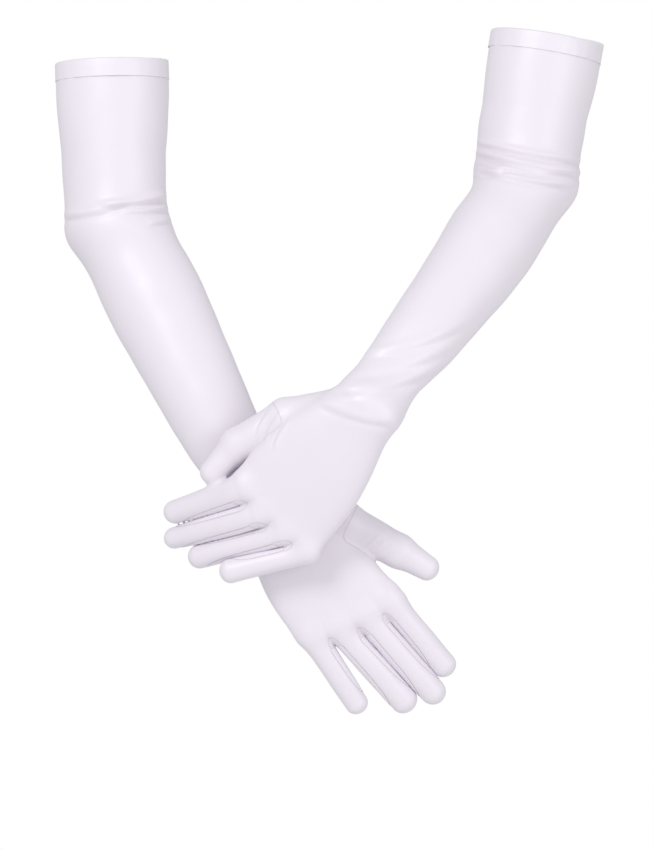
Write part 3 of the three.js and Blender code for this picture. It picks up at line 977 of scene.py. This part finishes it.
def add_finger(glove, name):
    direction = glove.fingers[name].direction
    root, knuckle = glove.roots[name], glove.knuckles[name]
    cloth = finger_net(glove, name)
    past = (cloth.rest - knuckle) @ direction + TIP_ABOVE_KNUCKLE
    plane_point, _ = glove.planes[name]
    start = root + ((plane_point - root) @ direction) * direction
    bending = ("hand", f"{name}_base", start, start + FINGER_BEND * direction)
    add_finger_part(glove, name, "base", trimmed(cloth, OVERLAP - past), bending)
    start, end = knuckle - KNUCKLE_BEND * direction, knuckle + KNUCKLE_BEND * direction
    add_finger_part(glove, name, "tip", trimmed(cloth, past), (f"{name}_base", f"{name}_tip", start, end))


def hem_ring(glove, out, down):
    """One turn round the sleeve, at a distance out from it and down from the rim."""
    limb = glove.upper
    angles = np.linspace(0, 2 * np.pi, HEM_SIDES, endpoint=False)
    along = (limb.start - glove.rim) @ glove.up + down
    share = along / limb.length
    ripple = np.sin(23 * angles + 2 * np.sin(3 * angles))
    out = out + HEM_PUCKER * ripple * smoothstep(2, HEM_HEIGHT, down)
    x = (limb.widths(share) + out) * np.cos(angles) + limb.shifts[0](share)
    z = (limb.depths(share) + out) * np.sin(angles) + limb.shifts[1](share)
    centre = limb.start + along * limb.direction
    return centre + x[:, None] * limb.across + z[:, None] * limb.palmward


def add_hem(glove):
    """The hem: the satin turned in over the elastic, with its folded edge at the rim."""
    places = np.concatenate([hem_ring(glove, out, down) for out, down in HEM_OUTLINE])
    faces = []
    for row in range(len(HEM_OUTLINE) - 1):
        a, b = row * HEM_SIDES, (row + 1) * HEM_SIDES
        for i in range(HEM_SIDES):
            j = (i + 1) % HEM_SIDES
            faces.append([a + i, b + i, b + j, a + j])
    faces = np.array(faces)
    normals = corner_normals(places, faces)
    if np.dot(normals[0], places[0] - glove.rim) < 0:
        faces = faces[:, ::-1]
        normals = -normals
    cloth = Cloth(places, faces.tolist(), normals)
    obj = add_cloth(f"{glove.side}_hem_satin", cloth, HEM, HEM_THICKNESS)
    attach(obj, f"{glove.side}_upper_arm")
    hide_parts(f"{glove.side}_cuff_hem")
    elastic = frame["nodes"][f"{glove.side}_cuff_elastic"]
    elastic.data.materials.clear()
    elastic.data.materials.append(TAPE)


def add_glove(glove):
    add_sleeve(glove)
    add_hand(glove)
    for name in FINGERS:
        add_finger(glove, name)
    add_hem(glove)


for side in SIDES:
    add_glove(Glove(side))


# --- Light, floor and camera ------------------------------------------------------------------------


def add_light(name, place, size, power):
    """A round lamp that points at the middle of the gloves."""
    light = bpy.data.lights.new(name, "AREA")
    light.shape = "DISK"
    light.size = size
    light.energy = power
    obj = bpy.data.objects.new(name, light)
    obj.location = place
    obj.rotation_euler = (Vector(MIDDLE) - Vector(place)).to_track_quat("-Z", "Y").to_euler()
    bpy.context.scene.collection.objects.link(obj)


def add_world():
    """A white room, brighter to the camera than it is as a light."""
    world = bpy.data.worlds.new("white")
    world.use_nodes = True
    nodes, links = world.node_tree.nodes, world.node_tree.links
    background = nodes["Background"]
    background.inputs["Color"].default_value = (1, 1, 1, 1)
    seen = nodes.new("ShaderNodeLightPath")
    strength = nodes.new("ShaderNodeMapRange")
    strength.inputs["To Min"].default_value = AMBIENT_LIGHT
    links.new(seen.outputs["Is Camera Ray"], strength.inputs["Value"])
    links.new(strength.outputs["Result"], background.inputs["Strength"])
    bpy.context.scene.world = world
    bpy.context.scene.view_settings.view_transform = "Standard"


def add_floor():
    """A pale round floor, low enough to stay below the front view."""
    bm = bmesh.new()
    bmesh.ops.create_circle(bm, cap_ends=True, segments=FLOOR_SIDES, radius=FLOOR_RADIUS)
    mesh = bpy.data.meshes.new("floor")
    bm.to_mesh(mesh)
    bm.free()
    mesh.materials.append(plain("floor", (0.9, 0.9, 0.9), 0.8))
    obj = bpy.data.objects.new("floor", mesh)
    obj.location = FLOOR_PLACE
    bpy.context.scene.collection.objects.link(obj)


def add_camera():
    camera = bpy.data.cameras.new("camera")
    camera.lens = CAMERA_LENS
    obj = bpy.data.objects.new("camera", camera)
    obj.location = CAMERA_PLACE
    obj.rotation_euler = (math.radians(90), 0, 0)
    bpy.context.scene.collection.objects.link(obj)
    bpy.context.scene.camera = obj


add_world()
add_light("key", KEY_PLACE, KEY_SIZE, KEY_POWER)
add_light("fill", FILL_PLACE, FILL_SIZE, FILL_POWER)
add_floor()
add_camera()
